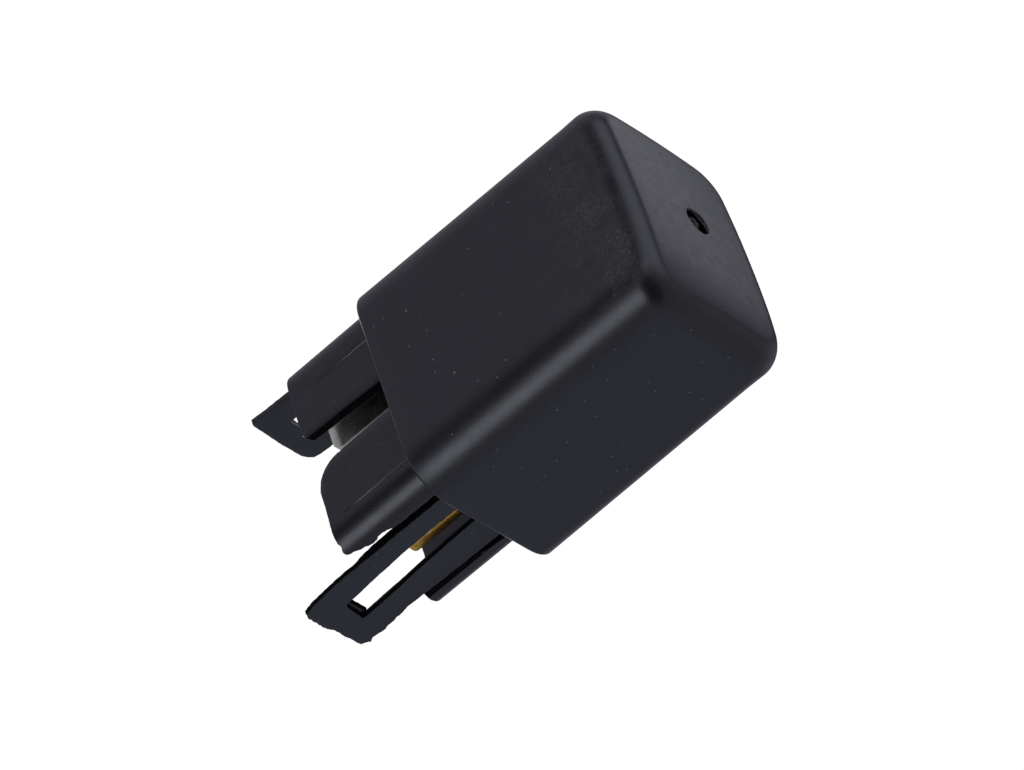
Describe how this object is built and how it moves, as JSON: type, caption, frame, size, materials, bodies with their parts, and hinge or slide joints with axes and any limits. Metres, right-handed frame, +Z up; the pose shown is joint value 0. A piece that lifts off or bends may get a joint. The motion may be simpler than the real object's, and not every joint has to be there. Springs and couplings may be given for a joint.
{
  "type": "automotive relay",
  "caption": "Small plug-in automotive relay: black drafted cover, slotted connector shroud with blade terminals and latch loops, and a hinged armature relay inside.",
  "frame": {"origin": "centre of the cover's rim face, the plane where the relay stops on its socket", "axes": "+Z up through the cover's closed top, terminals down -Z; +X along the wide side, towards the coil blades and the longer latch loop; -Y is the wide side nearer the shroud"},
  "size_m": [0.026, 0.0202, 0.0483],
  "materials": {
    "cover_plastic": "moulded black plastic, fine satin grain",
    "base_plastic": "moulded black plastic, satin",
    "tinned_blade": "dull tin plate on brass, bare brass on the stamped edges",
    "iron": "zinc plated soft iron",
    "bobbin_plastic": "natural glass filled nylon",
    "copper_wire": "enamelled copper wire",
    "tape": "amber polyester tape",
    "brass_strip": "rolled brass",
    "contact_silver": "silver alloy, dull",
    "rivet_steel": "plated steel",
    "spring_bronze": "rolled bronze"
  },
  "bodies": {
    "frame": {"cover": "cover_plastic", "base": "base_plastic", "contact_terminal": "tinned_blade", "common_terminal": "tinned_blade", "coil_terminal_front": "tinned_blade", "coil_terminal_back": "tinned_blade", "yoke": "iron", "core": "iron", "bobbin": "bobbin_plastic", "coil_winding": "copper_wire", "coil_tape": "tape", "coil_lead_front": "copper_wire", "coil_lead_back": "copper_wire", "backstop": "brass_strip", "fixed_contact": "contact_silver", "yoke_rivets": "rivet_steel"},
    "armature_body": {"armature": "iron", "return_spring": "spring_bronze", "armature_rivets": "rivet_steel", "moving_contact": "contact_silver"}
  },
  "joints": [
    {"name": "armature_hinge", "type": "hinge", "parent": "frame", "child": "armature_body", "pos_m": [0.0102, 0, 0.024], "axis": [0, -1, 0], "range_deg": [0, 2.4], "stiffness_Nm_per_rad": 0.02, "springref_deg": -4.58, "deforming": ["return_spring"]}
  ]
}
